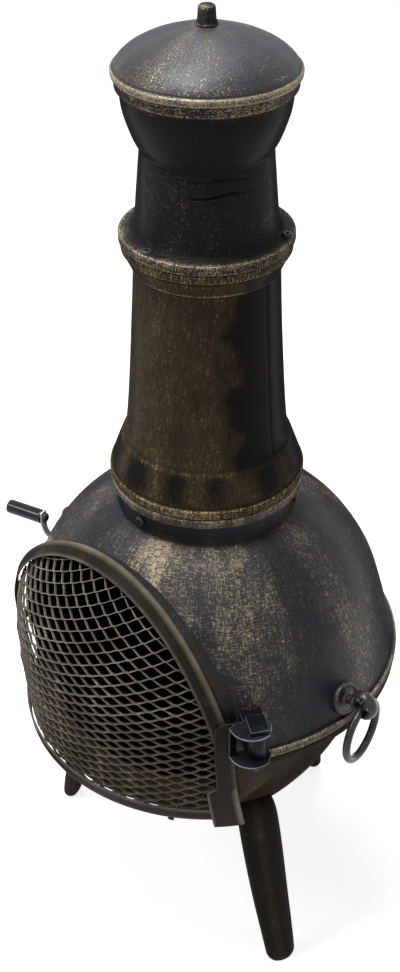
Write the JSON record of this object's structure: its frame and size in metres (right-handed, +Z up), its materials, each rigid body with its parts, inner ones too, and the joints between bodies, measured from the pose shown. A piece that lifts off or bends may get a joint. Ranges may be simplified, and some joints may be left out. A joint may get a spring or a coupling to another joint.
{
  "type": "chiminea",
  "caption": "Bellied cast-iron chiminea with a two-piece chimney, lift-off lid, hinged dished mesh door, carrying rings and three splayed legs.",
  "frame": {"origin": "on the ground under the chimney axis", "axes": "+Z up along the chimney axis; the door faces -Y; +X is on the right of someone who looks along +Y at the door"},
  "size_m": [0.4096, 0.3553, 0.8865],
  "materials": {
    "bowl_casting": "near-black cast iron rubbed with antique bronze on rims and high spots",
    "chimney_casting": "sand-cast, crosshatched antique bronze rub over black, bright edges",
    "leg_casting": "dark cast iron with a brown bronze rub",
    "lid_knob": "dark cast iron, rubbed bright on top",
    "door_sheet": "brown bronze painted sheet steel with worn bright edges",
    "door_mesh": "expanded steel mesh painted satin black-brown",
    "hinge_steel": "gloss black painted steel with bright worn edges",
    "ring_steel": "black painted steel bar with a light bronze rub",
    "handle_strip": "bare brushed steel strip",
    "handle_grip": "glossy black round grip",
    "black_fasteners": "blackened steel screws, bolts and nuts"
  },
  "bodies": {
    "body": {"upper_bowl": "bowl_casting", "lower_bowl": "bowl_casting", "lower_chimney": "chimney_casting", "upper_chimney": "chimney_casting", "collar_screw_front": "black_fasteners", "collar_screw_right": "black_fasteners", "collar_screw_left": "black_fasteners", "neck_screw_front": "black_fasteners", "neck_screw_right": "black_fasteners", "neck_screw_left": "black_fasteners", "base_bolt_right": "black_fasteners", "base_bolt_left": "black_fasteners", "base_nut_right": "black_fasteners", "base_nut_left": "black_fasteners", "leg_right": "leg_casting", "leg_left": "leg_casting", "leg_back": "leg_casting", "leg_bolt_right": "black_fasteners", "leg_bolt_left": "black_fasteners", "leg_bolt_back": "black_fasteners", "ring_mount_right": "ring_steel", "ring_mount_left": "ring_steel", "ring_nut_right": "black_fasteners", "ring_nut_left": "black_fasteners", "hinge_bolt": "hinge_steel", "hinge_nut": "black_fasteners"},
    "lid": {"lid": "chimney_casting", "lid_knob": "lid_knob", "lid_knob_screw": "black_fasteners"},
    "door": {"door_frame": "door_sheet", "door_hinge_plate": "door_sheet", "door_latch_plate": "door_sheet", "door_mesh": "door_mesh", "hinge_bracket": "hinge_steel", "handle_strip": "handle_strip", "handle_grip": "handle_grip", "handle_screw": "black_fasteners"},
    "ring_right": {"carry_ring_right": "ring_steel"},
    "ring_left": {"carry_ring_left": "ring_steel"}
  },
  "joints": [
    {"name": "door_swing", "type": "hinge", "parent": "body", "child": "door", "pos_m": [0.15858, -0.09909, 0.325], "axis": [0, 0, 1], "range_deg": [0, 110]},
    {"name": "lid_lift", "type": "slide", "parent": "body", "child": "lid", "axis": [0, 0, 1], "range_m": [0, 0.25]},
    {"name": "ring_right_swing", "type": "hinge", "parent": "body", "child": "ring_right", "pos_m": [0.19113, 0, 0.32023], "axis": [0.2079, -0.9781, 0], "range_deg": [-8, 100]},
    {"name": "ring_left_swing", "type": "hinge", "parent": "body", "child": "ring_left", "pos_m": [-0.19113, 0, 0.32023], "axis": [0.2079, 0.9781, 0], "range_deg": [-8, 100]}
  ]
}
